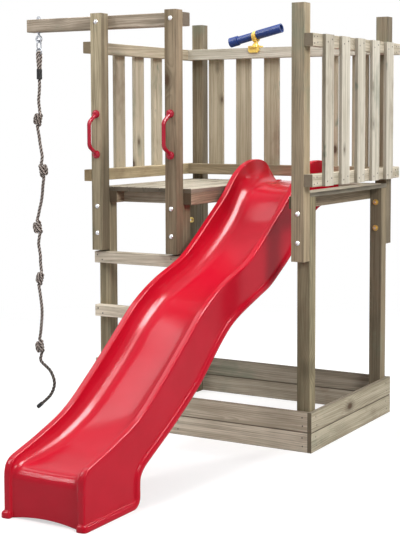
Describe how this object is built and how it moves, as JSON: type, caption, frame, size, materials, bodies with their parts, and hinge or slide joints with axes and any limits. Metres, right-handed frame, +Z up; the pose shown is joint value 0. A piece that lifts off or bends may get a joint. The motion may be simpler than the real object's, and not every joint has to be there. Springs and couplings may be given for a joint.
{
  "type": "wooden climbing frame",
  "caption": "Wooden play tower with a railed deck, ladder, wavy plastic slide, knotted climbing rope on an arm, telescope, hand grips and a sandbox frame at its foot.",
  "frame": {"origin": "on the ground under the middle of the whole outline", "axes": "+X to the right along the front, +Y from the slide's toe to the rear railing, +Z up"},
  "size_m": [1.76, 2.569, 2.174],
  "materials": {
    "timber": "weathered, planed",
    "slide_red": "satin",
    "scope_yellow": "gloss",
    "scope_blue": "gloss",
    "rope_fibre": "laid",
    "sleeve_black": "matte",
    "steel": "zinc plated",
    "zinc_yellow": "yellow zinc plated"
  },
  "bodies": {
    "tower": {"post_lower_a": "timber", "post_lower_b": "timber", "post_lower_c": "timber", "post_lower_d": "timber", "post_lower_e": "timber", "post_upper_a": "timber", "post_upper_b": "timber", "post_upper_c": "timber", "post_upper_d": "timber", "post_upper_e": "timber", "sand_front_lower": "timber", "sand_front_upper": "timber", "sand_rear_lower": "timber", "sand_rear_upper": "timber", "sand_left_lower": "timber", "sand_left_upper": "timber", "sand_right_lower": "timber", "sand_right_upper": "timber", "deck_board_1": "timber", "deck_board_2": "timber", "deck_board_3": "timber", "deck_board_4": "timber", "deck_board_5": "timber", "deck_board_6": "timber", "deck_board_7": "timber", "deck_board_rear": "timber", "joist_a": "timber", "joist_b": "timber", "joist_c": "timber", "bearer_front": "timber", "bearer_rear_left": "timber", "bearer_rear_right": "timber", "step_1": "timber", "step_2": "timber", "step_3": "timber", "rail_left_lower": "timber", "rail_left_upper": "timber", "rail_right_lower": "timber", "rail_right_upper": "timber", "rail_back_lower": "timber", "rail_back_upper": "timber", "slats_left": "timber", "slats_right": "timber", "slats_back": "timber", "rope_arm": "timber", "slide": "slide_red", "grip_a": "slide_red", "grip_b": "slide_red", "scope_base": "scope_yellow", "rope_hanger": "steel", "coach_bolts": "steel", "bolt_nuts": "zinc_yellow"},
    "scope_swivel": {"scope_yoke": "scope_yellow"},
    "scope_barrel": {"scope_band": "scope_yellow", "scope_tube": "scope_blue"},
    "hanger_link": {"rope_link": "steel"},
    "climbing_rope": {"rope_ring": "steel", "rope_sleeves": "sleeve_black", "rope": "rope_fibre"}
  },
  "joints": [
    {"name": "scope_pan", "type": "hinge", "parent": "tower", "child": "scope_swivel", "pos_m": [0.023, 1.187, 2.04], "axis": [0, 0, 1], "continuous": true},
    {"name": "scope_tilt", "type": "hinge", "parent": "scope_swivel", "child": "scope_barrel", "pos_m": [0.023, 1.187, 2.09], "axis": [0, 1, 0], "range_deg": [-1.5, 26]},
    {"name": "link_swing", "type": "hinge", "parent": "tower", "child": "hanger_link", "pos_m": [-0.825, 0.2795, 2.035], "axis": [1, 0, 0], "range_deg": [-40, 40]},
    {"name": "rope_swing", "type": "hinge", "parent": "hanger_link", "child": "climbing_rope", "pos_m": [-0.825, 0.2795, 1.9938], "axis": [0, 1, 0], "range_deg": [-8, 45]}
  ]
}
